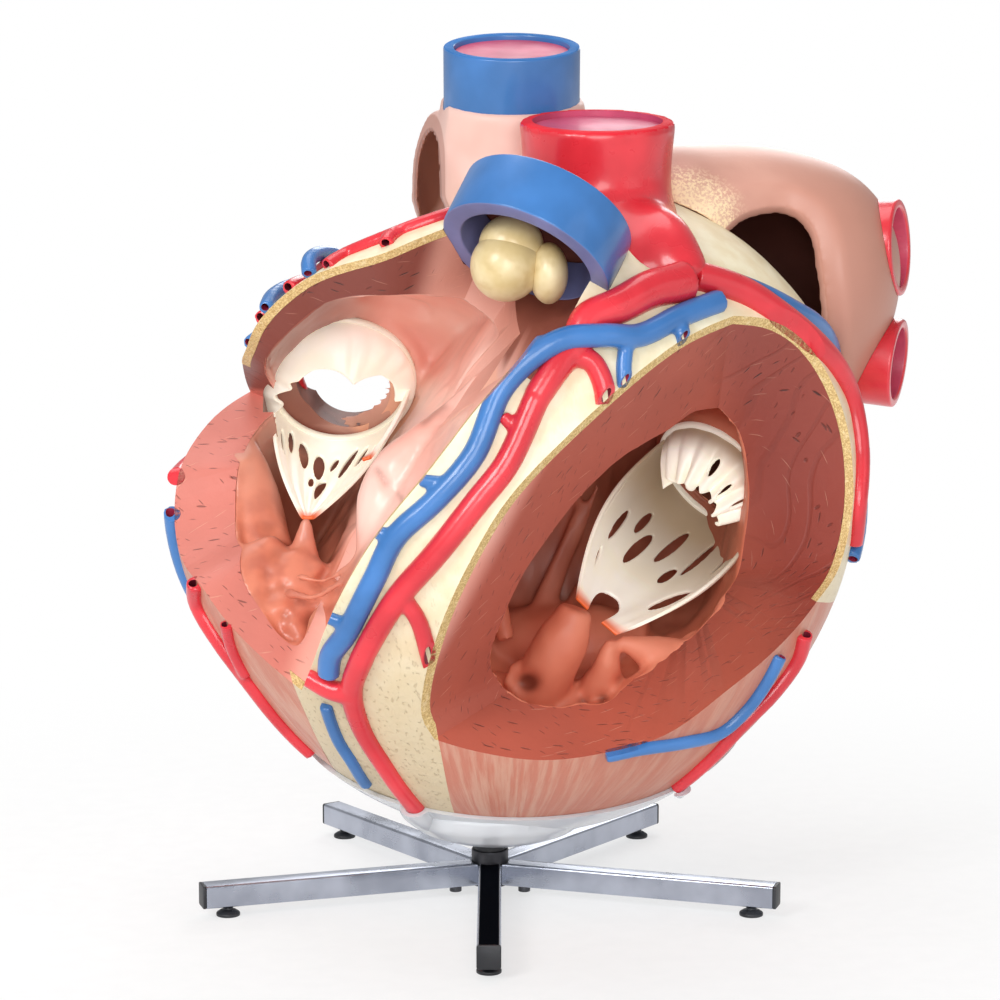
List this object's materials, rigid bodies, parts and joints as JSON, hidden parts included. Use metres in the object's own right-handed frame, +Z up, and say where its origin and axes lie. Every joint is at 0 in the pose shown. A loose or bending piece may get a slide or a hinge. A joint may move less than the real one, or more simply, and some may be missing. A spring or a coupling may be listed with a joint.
{
  "type": "human heart anatomy model",
  "caption": "Giant human heart teaching model, cut open to show its chambers and valves, that lifts off a clear cup turning on a star-shaped stand with levelling feet.",
  "frame": {"origin": "middle of the footprint, on the floor", "axes": "+Z up, -Y towards whoever looks into the open ventricles, +X towards the left atrium and its lung veins"},
  "size_m": [0.9987, 0.8205, 1.1395],
  "materials": {
    "muscle": "painted glass-fibre, satin",
    "fat": "painted glass-fibre, satin",
    "atrium": "painted glass-fibre, satin",
    "disc": "painted, satin",
    "cusp": "painted, satin",
    "valve": "painted, satin",
    "blue_vessel": "painted, gloss",
    "red_vessel": "painted, gloss",
    "clear_plastic": "clear moulded plastic",
    "chrome": "plated steel tube",
    "grey_metal": "dull grey steel",
    "black_metal": "black, satin",
    "black_plastic": "black moulded plastic"
  },
  "bodies": {
    "base": {"hub": "grey_metal", "leg_1": "chrome", "leg_2": "chrome", "leg_3": "chrome", "leg_4": "chrome", "leg_5": "chrome", "leg_cap_1": "black_plastic", "leg_cap_2": "black_plastic", "leg_cap_3": "black_plastic", "leg_cap_4": "black_plastic", "leg_cap_5": "black_plastic", "leg_bolt_1": "grey_metal", "leg_bolt_2": "grey_metal", "leg_bolt_3": "grey_metal", "leg_bolt_4": "grey_metal", "leg_bolt_5": "grey_metal"},
    "turning": {"post": "black_metal", "clear_cup": "clear_plastic"},
    "foot_1": {"foot_1": "black_plastic"},
    "foot_2": {"foot_2": "black_plastic"},
    "foot_3": {"foot_3": "black_plastic"},
    "foot_4": {"foot_4": "black_plastic"},
    "foot_5": {"foot_5": "black_plastic"},
    "heart": {"ventricle_muscle": "muscle", "heart_fat": "fat", "right_atrium": "atrium", "left_atrium": "atrium", "lung_artery": "blue_vessel", "lung_artery_disc": "disc", "upper_great_vein": "blue_vessel", "upper_great_vein_disc": "disc", "aorta": "red_vessel", "aorta_disc": "disc", "lung_artery_cusp_1": "cusp", "lung_artery_cusp_2": "cusp", "lung_artery_cusp_3": "cusp", "right_valve": "valve", "left_valve": "valve", "lung_vein_upper_right": "red_vessel", "lung_vein_lower_right": "red_vessel", "lung_vein_upper_left": "red_vessel", "lung_vein_lower_left": "red_vessel", "lower_great_vein": "blue_vessel", "great_cardiac_vein": "blue_vessel", "front_descending_artery": "red_vessel", "circumflex_artery": "red_vessel", "front_vein_tip": "blue_vessel", "coronary_sinus": "blue_vessel", "back_vein": "blue_vessel", "left_margin_artery": "red_vessel", "left_side_vein": "blue_vessel", "left_margin_vein": "blue_vessel", "right_coronary_artery": "red_vessel", "rim_vein_1": "blue_vessel", "rim_vein_2": "blue_vessel", "rim_vein_3": "blue_vessel", "right_margin_artery": "red_vessel", "right_side_artery": "red_vessel", "right_side_vein": "blue_vessel"}
  },
  "joints": [
    {"name": "swivel", "type": "hinge", "parent": "base", "child": "turning", "pos_m": [-0.0749, -0.0179, 0.04], "axis": [0, 0, 1], "continuous": true},
    {"name": "heart_lift", "type": "slide", "parent": "turning", "child": "heart", "axis": [0, 0, 1], "range_m": [0, 0.2]},
    {"name": "foot_screw_1", "type": "slide", "parent": "base", "child": "foot_1", "axis": [0, 0, -1], "range_m": [-0.004, 0.012]},
    {"name": "foot_screw_2", "type": "slide", "parent": "base", "child": "foot_2", "axis": [0, 0, -1], "range_m": [-0.004, 0.012]},
    {"name": "foot_screw_3", "type": "slide", "parent": "base", "child": "foot_3", "axis": [0, 0, -1], "range_m": [-0.004, 0.012]},
    {"name": "foot_screw_4", "type": "slide", "parent": "base", "child": "foot_4", "axis": [0, 0, -1], "range_m": [-0.004, 0.012]},
    {"name": "foot_screw_5", "type": "slide", "parent": "base", "child": "foot_5", "axis": [0, 0, -1], "range_m": [-0.004, 0.012]}
  ]
}
